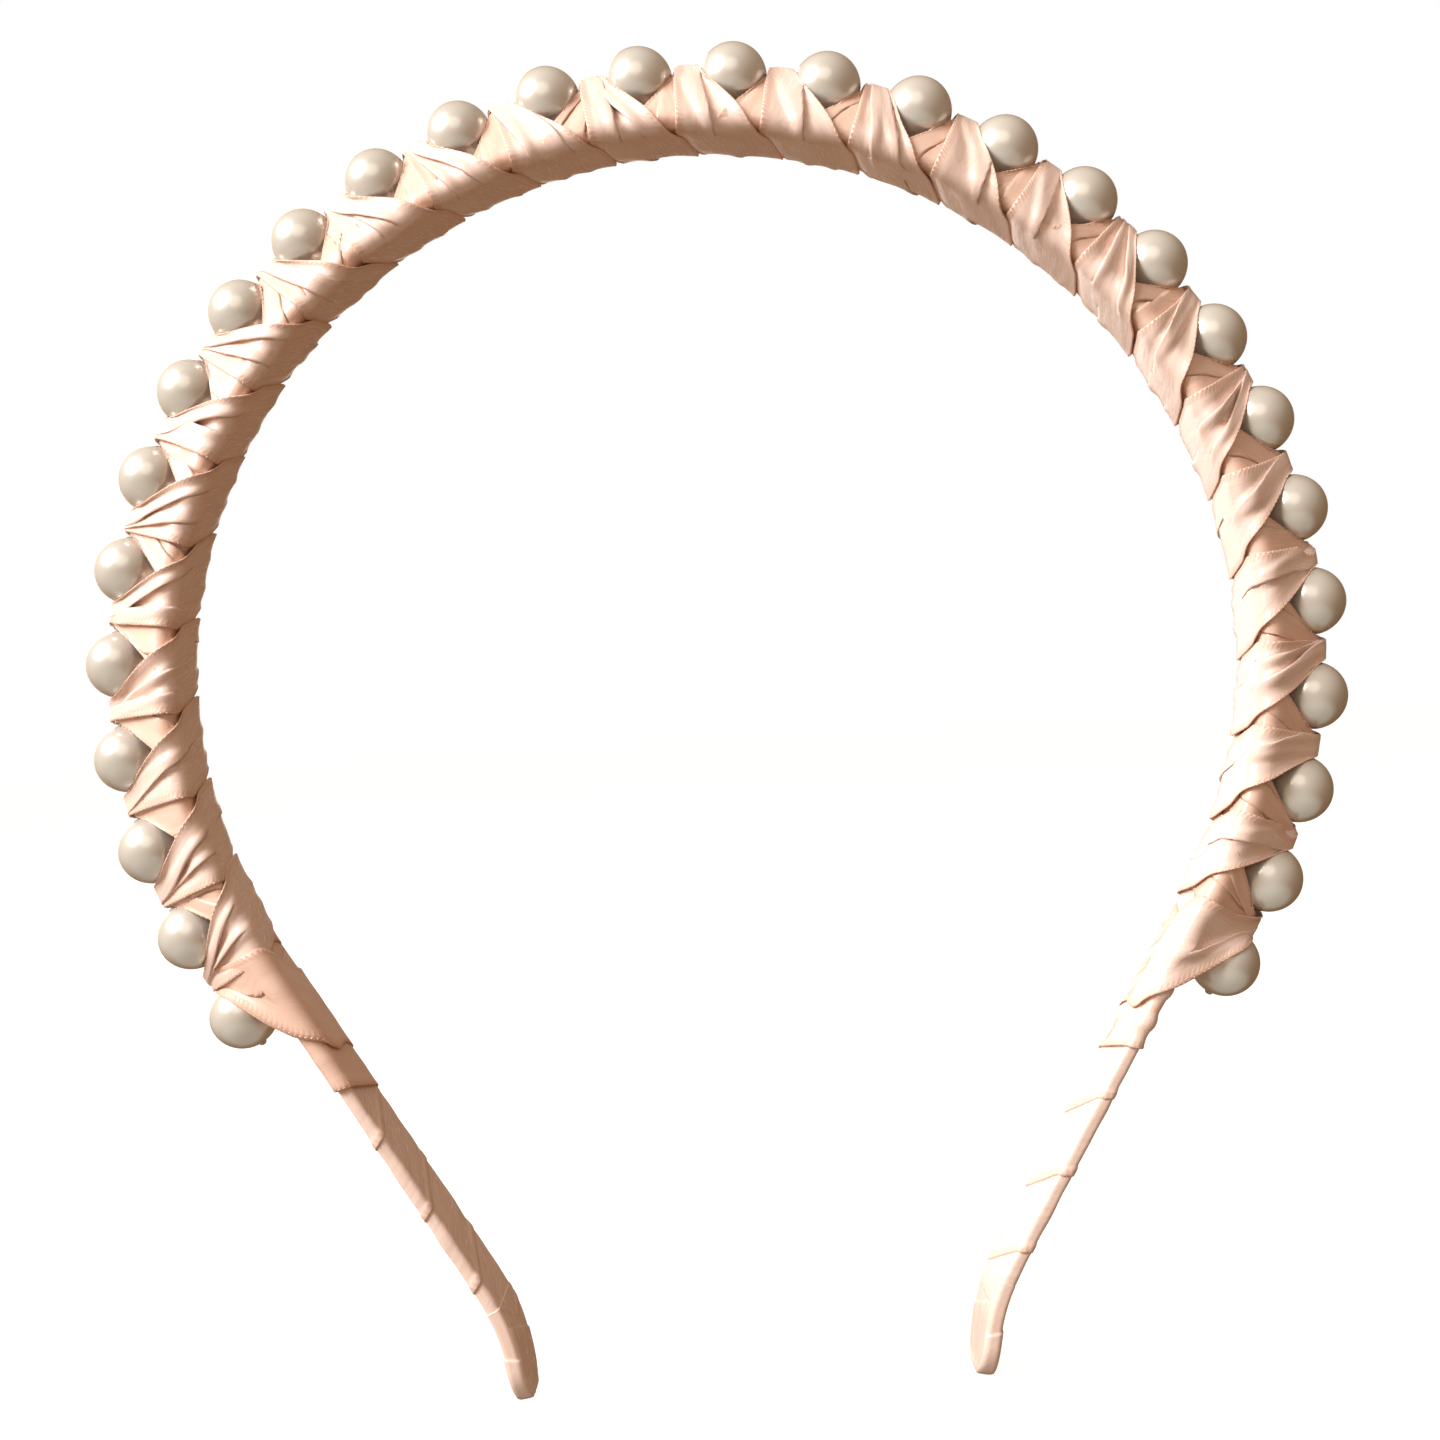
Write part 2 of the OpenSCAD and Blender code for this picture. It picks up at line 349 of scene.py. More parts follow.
# ---- Meshes ---------------------------------------------------------------------------------
def make_object(name, points, faces, uvs, material):
    """points in metres, faces as index arrays of one width each, uvs one pair per point."""
    mesh = bpy.data.meshes.new(name)
    loops = np.concatenate([f.ravel() for f in faces])
    sizes = np.concatenate([np.full(len(f), f.shape[1]) for f in faces])
    starts = np.concatenate([[0], np.cumsum(sizes)[:-1]])
    mesh.vertices.add(len(points))
    mesh.vertices.foreach_set("co", points.astype(np.float32).ravel())
    mesh.loops.add(len(loops))
    mesh.loops.foreach_set("vertex_index", loops.astype(np.int32))
    mesh.polygons.add(len(sizes))
    mesh.polygons.foreach_set("loop_start", starts.astype(np.int32))
    mesh.update(calc_edges=True)
    layer = mesh.uv_layers.new(name="UVMap")
    layer.data.foreach_set("uv", uvs[loops].astype(np.float32).ravel())
    mesh.validate()
    mesh.polygons.foreach_set("use_smooth", np.ones(len(mesh.polygons), bool))
    mesh.materials.append(material)
    obj = bpy.data.objects.new(name, mesh)
    bpy.context.scene.collection.objects.link(obj)
    return obj


def grid_faces(rows, columns, first=0, flip=False, wrap=False):
    """Quads of a grid of points; wrap joins the last column to the first."""
    ids = first + np.arange(rows * columns).reshape(rows, columns)
    if wrap:
        ids = np.concatenate([ids, ids[:, :1]], 1)
    a, b, c, d = ids[:-1, :-1], ids[1:, :-1], ids[1:, 1:], ids[:-1, 1:]
    quads = np.stack([a, b, c, d], -1).reshape(-1, 4)
    return quads[:, ::-1] if flip else quads


def unit(v):
    """Vectors along the last axis, brought to a length of 1."""
    return v / np.maximum(np.linalg.norm(v, axis=-1, keepdims=True), 1e-12)


def edge_loops(points, normals, along, across):
    """Picots: evenly spaced thread loops along one edge of a ribbon, as small flattened balls."""
    count = int((along[-1] - along[0]) / PICOT_PITCH)
    at = along[0] + (np.arange(count) + 0.5) * PICOT_PITCH
    centre = np.stack([np.interp(at, along, points[:, i]) for i in range(3)], -1)
    up = unit(np.stack([np.interp(at, along, normals[:, i]) for i in range(3)], -1))
    ahead = unit(np.gradient(centre, axis=0))
    side = unit(np.cross(up, ahead))
    ball = bmesh.new()
    bmesh.ops.create_icosphere(ball, subdivisions=1, radius=1.0)
    corners = np.array([v.co for v in ball.verts])
    faces = np.array([[v.index for v in f.verts] for f in ball.faces])
    ball.free()
    spread = corners * np.array([0.36 * PICOT_PITCH, PICOT_R, PICOT_R * 0.85]) * MM
    frames = np.stack([ahead, side, up], 1)
    balls = centre[:, None] + np.einsum("vk,nkc->nvc", spread, frames)
    uvs = np.stack([np.repeat(at, len(corners)), np.full(count * len(corners), across)], -1)
    ids = faces[None] + (np.arange(count) * len(corners))[:, None, None]
    return balls.reshape(-1, 3), ids.reshape(-1, 3), uvs


def edge_line(grid, column):
    """A line just inside the ribbon's edge, about a third of the way to the next column."""
    inner = 1 if column == 0 else column - 1
    return grid[:, column] + 0.35 * (grid[:, inner] - grid[:, column])


def ribbon_object(name, grid, along, across, thick, material, picots=True):
    """A closed ribbon round the middle surface grid[along, across] in metres; sizes are in mm."""
    rows, columns = grid.shape[:2]
    ahead, side = np.gradient(grid, axis=0), np.gradient(grid, axis=1)
    normals = unit(np.cross(ahead, side))
    half = (normals * (thick / 2 * MM)).reshape(-1, 3)
    flat = grid.reshape(-1, 3)
    count = rows * columns
    ids = np.arange(count).reshape(rows, columns)
    rim = np.concatenate([ids[:, 0], ids[-1, 1:], ids[-2::-1, -1], ids[0, -2:0:-1]])
    rim_next = np.roll(rim, -1)
    faces = [
        grid_faces(rows, columns),
        grid_faces(rows, columns, count, flip=True),
        np.stack([rim, rim + count, rim_next + count, rim_next], -1),
    ]
    points = [flat + half, flat - half]
    face_uv = np.stack(np.broadcast_arrays(along[:, None], across[None, :]), -1).reshape(-1, 2)
    uvs = [face_uv, face_uv]
    if picots:
        for column in (0, columns - 1):
            line = edge_line(grid, column)
            dots, triangles, dot_uvs = edge_loops(line, normals[:, column], along, across[column])
            faces.append(triangles + sum(len(p) for p in points))
            points.append(dots)
            uvs.append(dot_uvs)
    return make_object(name, np.concatenate(points), faces, np.concatenate(uvs), material)


def tube_object(name, centre, radius, sides, material):
    """A round tube with closed ends along centre[n, 3] in metres; radius in mm, one per point."""
    ahead = unit(np.gradient(centre, axis=0))
    side = np.broadcast_to(np.array([0.0, 1.0, 0.0]), ahead.shape)
    up = unit(np.cross(side, ahead))
    turn = np.arange(sides) / sides * math.tau
    ring = np.cos(turn)[None, :, None] * side[:, None] + np.sin(turn)[None, :, None] * up[:, None]
    size = np.broadcast_to(np.asarray(radius, float), len(centre))[:, None, None] * MM
    points = (centre[:, None] + ring * size).reshape(-1, 3)
    length = np.concatenate([[0], np.cumsum(np.linalg.norm(np.diff(centre, axis=0), axis=1))]) / MM
    uvs = np.stack([np.repeat(length, sides), np.tile(turn, len(centre))], -1)
    ends = np.array([centre[0], centre[-1]])
    last = (len(centre) - 1) * sides
    ring_ids = np.arange(sides)
    caps = [
        np.stack([np.full(sides, len(points)), np.roll(ring_ids, -1), ring_ids], -1),
        np.stack([np.full(sides, len(points) + 1), last + ring_ids, last + np.roll(ring_ids, -1)], -1),
    ]
    uvs = np.concatenate([uvs, [[0, 0], [length[-1], 0]]])
    faces = [grid_faces(len(centre), sides, wrap=True), *caps]
    return make_object(name, np.concatenate([points, ends]), faces, uvs, material)


# ---- Bodies: what each place along the hoop moves with ---------------------------------------
BLEND_HALF = 4.0


def settle(obj, body, nodes):
    """body is crown, left_arm or right_arm, or left_flex or right_flex for a piece across a hinge."""
    if body.endswith("_flex"):
        side = body.split("_")[0]
        sign = -1 if side == "left" else 1
        start, end = (place(sign * (U_FLEX + d), 0, 0) for d in (-BLEND_HALF, BLEND_HALF))
        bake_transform(obj)
    else:
        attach(obj, body)
    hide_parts(*nodes)
    return obj


# ---- Pearls, thread and steel ----------------------------------------------------------------
HOLE_LIP = 0.16     # rounding of the rim of a pearl's hole
BORE_SHOWN = 1.2    # how deep the lip's last bend leads into the hole


def pearl_body(n):
    """The body that pearl n rides on."""
    if abs(n - PEARLS_PER_SIDE - 0.5) < CROWN_PEARLS_PER_SIDE:
        return "crown"
    return "left_arm" if n <= PEARLS_PER_SIDE else "right_arm"


def make_pearl(n):
    """A pearl turned round its thread hole: the outline runs out of the hole, over the bulge and back."""
    node = "pearl_%02d" % n
    low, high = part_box(node)
    centre = (low + high) / 2
    rng = np.random.default_rng(400 + n)
    radius, hole, lip = PEARL_D / 2, HOLE_R, HOLE_LIP
    first = math.asin((hole + lip) / radius)
    sweep = np.linspace(first, math.pi - first, 40)
    r = radius * np.sin(sweep)
    a = -radius * np.cos(sweep)
    inner = a[0] + np.array([lip * 0.35, lip, BORE_SHOWN])
    r = np.concatenate([[hole, hole + 0.02, hole + lip * 0.35], r, [hole + lip * 0.35, hole + 0.02, hole]])
    a = np.concatenate([inner[::-1], a, -inner])
    turn = np.arange(56) / 56 * math.tau
    rise = np.sin(a / radius * 2 + rng.uniform(0, 6))[:, None]
    out_of_round = 1 - 0.004 * rise * np.cos(2 * turn + rng.uniform(0, 6))
    u = (n - PEARLS_PER_SIDE - 0.5) * PITCH
    angle = math.copysign(float(bearing(np.array(abs(u)))), u)
    axis = np.array([math.cos(angle), 0, -math.sin(angle)])
    out = np.array([math.sin(angle), 0, math.cos(angle)])
    front = np.array([0.0, 1.0, 0.0])
    wide = (r[:, None] * out_of_round)[..., None]
    ring = np.cos(turn)[:, None] * out + np.sin(turn)[:, None] * front
    points = np.array(centre) + (a[:, None, None] * axis + wide * ring[None]) * MM
    uvs = np.stack(np.broadcast_arrays(a[:, None], turn[None]), -1).reshape(-1, 2)
    first_ring = np.arange(len(turn))
    ring_next = np.roll(first_ring, -1)
    last = (len(r) - 1) * len(turn)
    bore = np.stack([last + ring_next, last + first_ring, first_ring, ring_next], -1)
    faces = [grid_faces(len(r), len(turn), wrap=True, flip=True), bore]
    obj = make_object("pearl_bead_%02d" % n, points.reshape(-1, 3), faces, uvs, NACRE)
    return settle(obj, pearl_body(n), [node])


def make_thread(side, sign):
    """One half of the thread, with the knot behind the end pearl."""
    knot_start = U_KNOT - KNOT_D / 2
    across_knot = knot_start + KNOT_D * (1 - np.cos(np.linspace(0.12, math.pi - 0.02, 40))) / 2
    u = np.concatenate([np.linspace(0, knot_start - 0.1, 380), across_knot])
    knot = np.sqrt(np.clip((KNOT_D / 2) ** 2 - (u - U_KNOT) ** 2, 0, None))
    strands = 1 + 0.07 * np.cos((u - U_KNOT) * 11.0)
    radius = np.where(u < knot_start + 0.12, THREAD_D / 2, knot * strands * 0.96)
    centre = place(sign * u, RISE, 0)
    obj = tube_object("thread_" + side, centre, radius, 16, THREAD)
    return settle(obj, side + "_flex", ["bead_thread"])


def make_steel(side, sign):
    """One half of the steel strip: a flat bar with rounded edges and a round end."""
    half = STRIP_W / 2
    rounding = U_END + half * np.sin(np.linspace(0.0, 0.98, 22) * math.pi / 2)
    u = np.concatenate([np.linspace(0, U_END - 0.3, 160), rounding])
    past = np.clip((u - U_END) / half, 0, 0.995)
    width = half * np.sqrt(1 - past**2)
    turn = np.linspace(0, math.tau, 24, endpoint=False)
    squared_w, squared_t = 0.28, 0.6
    across = np.sign(np.cos(turn)) * np.abs(np.cos(turn)) ** squared_w
    up = np.sign(np.sin(turn)) * np.abs(np.sin(turn)) ** squared_t
    y = width[:, None] * across[None]
    o = np.broadcast_to(STRIP_T / 2 * up[None], y.shape)
    points = place(sign * u[:, None], o, y).reshape(-1, 3)
    uvs = np.stack(np.broadcast_arrays(u[:, None], turn[None]), -1).reshape(-1, 2)
    last = (len(u) - 1) * len(turn)
    caps = [np.arange(len(turn))[None, ::-1], (last + np.arange(len(turn)))[None]]
    faces = [grid_faces(len(u), len(turn), wrap=True), *caps]
    obj = make_object("steel_" + side, points, faces, uvs, STEEL)
    return settle(obj, side + "_flex", ["core_strip"])


# ---- Lashing ribbons -------------------------------------------------------------------------
STATIONS = 48       # coarse points of one turn, for the taut fibres
FIBRES = 17         # coarse fibres across the ribbon
BOX_HALF_W = 4.85   # the wrapped strip that the lashing is drawn over
BOX_HALF_T = 0.95
BOX_CORNER = 0.72
FIRST_TURN_CLEARANCE = -0.06
LAST_TURN_CLEARANCE = 0.2
LAST_GAP = PEARLS_PER_SIDE - 1
FIRST_TURN, LAST_TURN = -PEARLS_PER_SIDE, PEARLS_PER_SIDE + 1
ON_STRIP = 13.5     # turns from the crown's top, past which the ribbon lies on the tail's strip
SWEEPS = 520        # tightening steps until the fibres are taut
TURN_RUN = 32.0     # rough length of one turn along the ribbon
TAIL_TURN_W = 11.2  # width along u of a turn on the tail, which runs aslant

# Where the ribbon's middle is, as u at a number of turns from the crown's top: one pitch a turn up
# to the end pearl, then closer turns that make the collar on the tail.
CENTRE_TURNS = [0, 12.9, 13.05, 13.25, 13.5, 13.75, 14, 14.5, 15.5]
CENTRE_U = [0, 12.9 * PITCH, 145.6, 149.4, 152.6, 154.8, 156.4, 159.2, 164.6]


class Lashing:
    """One ribbon wound once round the hoop for each gap between pearls, as taut fibres and pleats.

    A turn starts over the thread in a gap, goes down the front, across the inner face, and up the
    back to the next gap. hand is 1 for a ribbon that climbs clockwise and -1 for its mirror."""

    def __init__(self, hand, seed, clearance, relief, support, tilt, widths, pleat_h):
        """clearance is the height over the wrap, relief how far the fabric ripples, puffs out and
        bellies, support the rope's radius in a gap, tilt the sink of the edge that is lapped over,
        widths those in a gap, on the ridge and on the inner face, and pleat_h a pleat's height."""
        self.hand = hand
        self.rng = np.random.default_rng(seed)
        self.clearance = clearance
        ripple, self.puff, self.belly = relief
        self.support = support
        self.tilt = tilt
        self.widths = widths
        self.pleat_h = pleat_h
        self.outwards = -hand   # turns the surface's normals away from the strip for either hand
        r = self.rng
        gaps = range(FIRST_TURN, LAST_TURN + 1)
        self.wide = {k: r.normal(0, 0.05) for k in gaps}
        self.shift = {k: r.normal(0, 0.28) for k in gaps}
        self.lean = {k: r.normal(0, 0.45) for k in gaps}
        self.pleats = {k: self.choose_pleats() for k in gaps}
        self.waves = {k: (r.uniform(0, 6.3, 3), ripple * r.uniform(0.4, 1.0, 3)) for k in gaps}
        self.relax()

    def choose_pleats(self):
        """Where a gap's pleats lie across the ribbon, how deep, which side is on top, how open."""
        r = self.rng
        if r.random() < 0.45:
            spots = [r.uniform(-1.2, 1.4)]
        else:
            spots = [r.uniform(-2.6, -1.2), r.uniform(0.9, 2.4)]
        pleats = []
        for spot in spots:
            share = r.uniform(0.85, 1.1) / len(spots)
            top = 1 if r.random() < 0.5 else -1
            pleats.append((spot, share, top, r.uniform(0.0, 1.0), r.uniform(3, 5)))
        return pleats

    def by_gap(self, values, turns):
        """A value per gap, held near the gap and eased from one gap to the next in between."""
        low = np.floor(turns).astype(int)
        start = FIRST_TURN - 2
        table = np.array([values.get(k, 0.0) for k in range(start, LAST_TURN + 3)])
        a, b = table[low - start], table[np.clip(low - start + 1, 0, len(table) - 1)]
        return a + (b - a) * smooth((turns - low - 0.3) / 0.4)

    def centre(self, turns):
        """u of the ribbon's middle, the same on both sides of the crown's top."""
        return np.sign(turns) * np.interp(np.abs(turns), CENTRE_TURNS, CENTRE_U)

    def width(self, turns):
        """Width along u: gathered in a gap, spread flat on the inner face, and wound flat on the tails."""
        gap_w, ridge_w, inner_w = self.widths
        p = np.abs(turns - np.round(turns))
        stops = [0, 0.06, 0.25, 0.35, 0.42, 0.5]
        shoulder_w = (ridge_w + inner_w) / 2 + 0.3
        wide = np.interp(p, stops, [gap_w, gap_w * 1.12, ridge_w, shoulder_w, inner_w, inner_w])
        on_tail = smooth((np.abs(turns) - 13.45) / 0.3)
        fanned = 3.6 * smooth((turns - 12.78) / 0.3) * (1 - on_tail)
        wide = wide * (1 + self.by_gap(self.wide, turns)) + fanned
        return wide * (1 - on_tail) + TAIL_TURN_W * on_tail

    def u_at(self, turns, q):
        """u of the fibre q (-0.5 to 0.5) at a place along the ribbon, before the hand is applied."""
        p = np.abs(turns - np.round(turns))
        held = smooth(p / 0.2)
        inside = 1 - smooth((np.abs(turns) - 13.2) / 0.4)
        wander = (self.by_gap(self.shift, turns) + self.by_gap(self.lean, turns) * q) * held * inside
        return self.centre(turns) + wander + q * self.width(turns)

    def stand_off(self, turns, q):
        """Distance of the ribbon's middle surface from the wrapped strip."""
        lapped = self.tilt * (smooth((q + 0.5) / 0.16) - 1)
        p = np.abs(turns - np.round(turns))
        belly = self.belly * smooth((p - 0.3) / 0.15) * np.cos(math.pi * q) ** 2
        usual = self.clearance * (1 - 0.4 * smooth((p - 0.37) / 0.08)) + lapped + belly
        start, finish = smooth((-13.2 - turns) / 0.3), smooth((turns - 13.0) / 0.3)
        usual = usual + (FIRST_TURN_CLEARANCE - usual) * start
        closing = LAST_TURN_CLEARANCE + 0.45 * (1 - smooth((turns - 13.35) / 0.5))
        closing = closing - 0.18 * smooth((turns - 14.4) / 0.6)
        return usual + (closing - usual) * finish

    def relax(self):
        """Draws every fibre taut round the strip, the pearls and the thread."""
        count = (LAST_TURN - FIRST_TURN) * STATIONS + 1
        self.turns = np.linspace(FIRST_TURN, LAST_TURN, count)
        self.q = np.linspace(-0.5, 0.5, FIBRES)
        t, q = np.meshgrid(self.turns, self.q, indexing="ij")
        u = self.u_at(t, q)
        phase = math.tau * (t - np.floor(t))
        y, o = -8.5 * np.sin(phase), 2.4 + 7.2 * np.cos(phase)
        off = self.stand_off(t, q)
        for end in (0, -1):
            y[end], o[end] = 0, BOX_HALF_T + off[end]
        beads = np.clip(np.round(u / PITCH - 0.5), -PEARLS_PER_SIDE, LAST_GAP) + 0.5
        reach = PEARL_D / 2 + 0.14
        bead = np.sqrt(np.clip(reach**2 - (u - beads * PITCH) ** 2, 0, None))
        gap = np.clip(np.round(u / PITCH), -LAST_GAP, LAST_GAP) * PITCH
        rope = self.support * (1 - smooth((np.abs(u - gap) - 1.9) / 1.2))
        # The turns on the tails lie on the strip, and pass under the end pearls instead of over them.
        on_strip = np.abs(t) > ON_STRIP
        ball = np.where(on_strip, 0, np.maximum(bead, rope))
        o = np.where(on_strip, np.clip(o, -3, BOX_HALF_T + 0.6), o)
        for _ in range(SWEEPS):
            self.tighten(y, o, 0.45)
            for _ in range(2):
                y, o = self.clear_box(y, o, off)
                dy, do = y, o - RISE
                far = np.maximum(np.hypot(dy, do), 1e-6)
                push = np.maximum(ball / far, 1)
                y, o = dy * push, RISE + do * push
        for _ in range(2):
            self.tighten(y, o, 0.22)
        self.taut_y, self.taut_o = y, o

    @staticmethod
    def tighten(y, o, rate):
        """Moves each point of a fibre towards its two neighbours, in place."""
        for values in (y, o):
            values[1:-1] += rate * (values[:-2] + values[2:] - 2 * values[1:-1])

    @staticmethod
    def clear_box(y, o, off):
        """Moves points that are nearer than off to the rounded bar out of it."""
        qy, qo = np.abs(y) - (BOX_HALF_W - BOX_CORNER), np.abs(o) - (BOX_HALF_T - BOX_CORNER)
        py, po = np.maximum(qy, 0), np.maximum(qo, 0)
        outside = np.hypot(py, po)
        gap = outside + np.minimum(np.maximum(qy, qo), 0) - BOX_CORNER
        need = np.maximum(off - gap, 0)
        level = outside < 1e-9
        gy = np.where(level, qy >= qo, py / np.maximum(outside, 1e-9))
        go = np.where(level, qy < qo, po / np.maximum(outside, 1e-9))
        return y + need * gy * np.sign(y), o + need * go * np.where(o < 0, -1, 1)

    def lobes(self, gap, w):
        """How far the fabric between a gap's pleats bulges, from 0 at each pleat to 1 between two."""
        spots = sorted(pleat[0] for pleat in self.pleats.get(gap, ()))
        edges = np.array([-RIBBON_W / 2, *spots, RIBBON_W / 2])
        k = np.clip(np.searchsorted(edges, w, side="right") - 1, 0, len(edges) - 2)
        width = edges[k + 1] - edges[k]
        return np.sin(math.pi * np.clip((w - edges[k]) / width, 0, 1)) * np.minimum(width / 5, 1)

    def fold(self, gap, turn, room, w):
        """Lateral place and height of the fabric places w, where the ribbon is gathered into room mm."""
        p = abs(turn - gap)
        spare = max(RIBBON_W - room, 0.0)
        x, rises = w.copy(), np.zeros_like(w)
        h = self.puff * self.lobes(gap, w) * float(smooth(p / 0.1) * (1 - smooth((p - 0.28) / 0.16)))
        reach = p * TURN_RUN
        pressed = 1 - 0.6 * float(smooth((p - 0.2) / 0.12)) - 0.15 * float(smooth((p - 0.35) / 0.06))
        for spot, share, top, open_by, open_at in self.pleats.get(gap, ()):
            depth = max(share * spare / 2, 0.02)
            inner = (w - spot) / depth
            x -= 2 * depth * float(smooth((depth - 0.05) / 0.25)) * smooth(inner / 1.3 + 0.5)
            opened = 0.5 + 0.5 * float(smooth(reach / 3))
            opened += 0.55 * open_by * math.exp(-(((reach - open_at) / 1.5) ** 2))
            rise = self.pleat_h * float(smooth((depth - 0.05) / 0.9)) * opened * pressed
            h *= smooth((np.abs(w - spot) - 1.2 * depth) / 1.0)
            side = inner * top
            step = 1 - smooth((side + 0.5) / 1.0)
            away = np.clip((-side - 0.5) * depth / 2.6, 0, 1)
            rises += rise * step * (1 - smooth(away))
        return x, h + rises

    def surface(self, start, end, rows, columns):
        """The pleated ribbon between two places: a grid of points, and its two coordinates in mm."""
        count = int(round((end - start) * rows)) + 1
        turns = np.linspace(start, end, count)
        q = np.linspace(-0.62, 0.62, 41)
        rooms = self.rooms(turns, q)
        t, qq = np.meshgrid(turns, q, indexing="ij")
        y = self.sample(self.taut_y, turns, q)
        o = self.sample(self.taut_o, turns, q)
        u = self.u_at(t, qq)
        base = place(self.hand * u, o, y) / MM
        normals = unit(np.cross(np.gradient(base, axis=0), np.gradient(base, axis=1)))
        middle = base[:, len(q) // 2]
        along = np.cumsum(np.linalg.norm(np.gradient(middle, axis=0), axis=1))
        w = np.linspace(-RIBBON_W / 2, RIBBON_W / 2, columns)
        out = np.empty((count, columns, 3))
        for i, turn in enumerate(turns):
            gap = int(round(turn))
            x, h = self.fold(gap, turn, rooms[i], w)
            x = (x - (x.min() + x.max()) / 2) / max(x.max() - x.min(), 1e-6)
            swell = math.sin(math.pi * min(1, abs(turn - gap) / 0.42))
            swell *= 1 - float(smooth((abs(turn) - 12.6) / 0.3))
            ripple = 0
            for j, (phase, size) in enumerate(zip(*self.waves[gap])):
                ripple = ripple + size / (1 + j) * swell * np.sin(x * (5.0 + 4.0 * j) + phase)
            out[i] = np.stack([np.interp(x, q, base[i, :, c]) for c in range(3)], -1)
            lift = np.stack([np.interp(x, q, normals[i, :, c]) for c in range(3)], -1)
            out[i] += unit(lift) * (h + ripple)[:, None] * self.outwards
        return out * MM, along, w

    def rooms(self, turns, q):
        """The width there is for the ribbon at each turn, square to its run and evened out."""
        reach = 0.045
        before, after = np.arange(-8, 0) / 8, np.arange(1, 9) / 8
        near = np.concatenate([turns[0] + reach * before, turns, turns[-1] + reach * after])
        near = np.clip(near, FIRST_TURN, LAST_TURN)
        t, qq = np.meshgrid(near, q, indexing="ij")
        y, o = self.sample(self.taut_y, near, q), self.sample(self.taut_o, near, q)
        base = place(self.hand * self.u_at(t, qq), o, y) / MM
        middle = base[:, len(q) // 2]
        run = unit(np.gradient(middle, axis=0) + 1e-9)
        lateral = base - middle[:, None]
        lateral -= np.einsum("ijk,ik->ij", lateral, run)[..., None] * run[:, None]
        lengths = np.linalg.norm(np.diff(lateral, axis=1), axis=2)
        width = lengths[:, 4:-4].sum(axis=1) / (q[-5] - q[4])
        weights = np.exp(-(((turns[:, None] - near[None]) / (reach / 2)) ** 2))
        return (weights @ width) / weights.sum(axis=1)

    def sample(self, values, turns, q):
        """values[station, fibre] read at finer places with smooth curves along the ribbon."""
        at = (turns - self.turns[0]) / (self.turns[1] - self.turns[0])
        low = np.clip(np.floor(at).astype(int), 1, len(self.turns) - 3)
        f = (at - low)[:, None]
        a, b, c, d = (values[low + i] for i in (-1, 0, 1, 2))
        rows = b + 0.5 * f * (c - a + f * (2 * a - 5 * b + 4 * c - d + f * (3 * (b - c) + d - a)))
        return np.stack([self.spread(row, q) for row in rows])

    def spread(self, row, q):
        """One row read across the ribbon, carried straight on past its edges."""
        inside = np.interp(q, self.q, row)
        low, high = (row[0] - row[1]) * (FIBRES - 1), (row[-1] - row[-2]) * (FIBRES - 1)
        inside = np.where(q < -0.5, row[0] + low * (-0.5 - q), inside)
        return np.where(q > 0.5, row[-1] + high * (q - 0.5), inside)


def lash(prefix, lashing, material, thick, rows, columns):
    """The five pieces of one lashing ribbon: those on the crown and the arms go with their bodies, and the
    two across the hinges are left in place.
    """
    cut = CROWN_PEARLS_PER_SIDE
    low_side, high_side = ("left", "right") if lashing.hand == 1 else ("right", "left")
    spans = [
        (FIRST_TURN, -cut - 1, low_side + "_arm", [low_side]),
        (-cut - 1, -cut + 1, low_side + "_flex", ["crown", low_side]),
        (-cut + 1, cut - 1, "crown", ["crown"]),
        (cut - 1, cut + 1, high_side + "_flex", ["crown", high_side]),
        (cut + 1, LAST_TURN, high_side + "_arm", [high_side]),
    ]
    for start, end, body, sides in spans:
        grid, along, across = lashing.surface(start, end, rows, columns)
        name = prefix + "_" + body.replace("_arm", "")
        obj = ribbon_object(name, grid, along, across, thick, material)
        settle(obj, body, ["%s_%s_lashing" % (side, prefix) for side in sides])


# ---- The ribbon wound round the bare strip ----------------------------------------------------
def outline_length(half_w, half_t, corner):
    return 4 * (half_w + half_t) - (8 - math.tau) * corner


def round_bar(s, half_w, half_t, corner):
    """The point and the outward direction at the length s round a bar's rounded outline."""
    flat_w, flat_t, bend = 2 * (half_w - corner), 2 * (half_t - corner), corner * math.pi / 2
    stops = np.cumsum([0, flat_w, bend, flat_t, bend, flat_w, bend, flat_t, bend])
    s = np.mod(s, stops[-1])
    side = np.searchsorted(stops, s, side="right") - 1
    into = s - stops[side]
    # Faces in order: outer, front, inner, back, each with the corner after it. A turn of 0 faces
    # outwards. A place on a flat is found from the corner at the flat's end.
    face, flat = side // 2, side % 2 == 0
    turn = np.where(flat, 0, into / corner) + face * math.pi / 2
    corner_y = np.where(face < 2, -1.0, 1.0)
    corner_o = np.where((face == 1) | (face == 2), -1.0, 1.0)
    centre_y, centre_o = corner_y * (half_w - corner), corner_o * (half_t - corner)
    ny, no = -np.sin(turn), np.cos(turn)
    to_end = np.where(flat, np.where(face % 2 == 0, flat_w, flat_t) - into, 0)
    return centre_y + corner * ny + no * to_end, centre_o + corner * no - ny * to_end, ny, no


WRAP_PITCH = 10.0
WRAP_T = 0.16
WRAP_CORNER = 0.36
U_COLLAR = 165.0    # where the lashing's last turn ends on the tail
U_PADDED = 150.0    # up to where the wrap is thicker, under the lashing's turns round the pearls


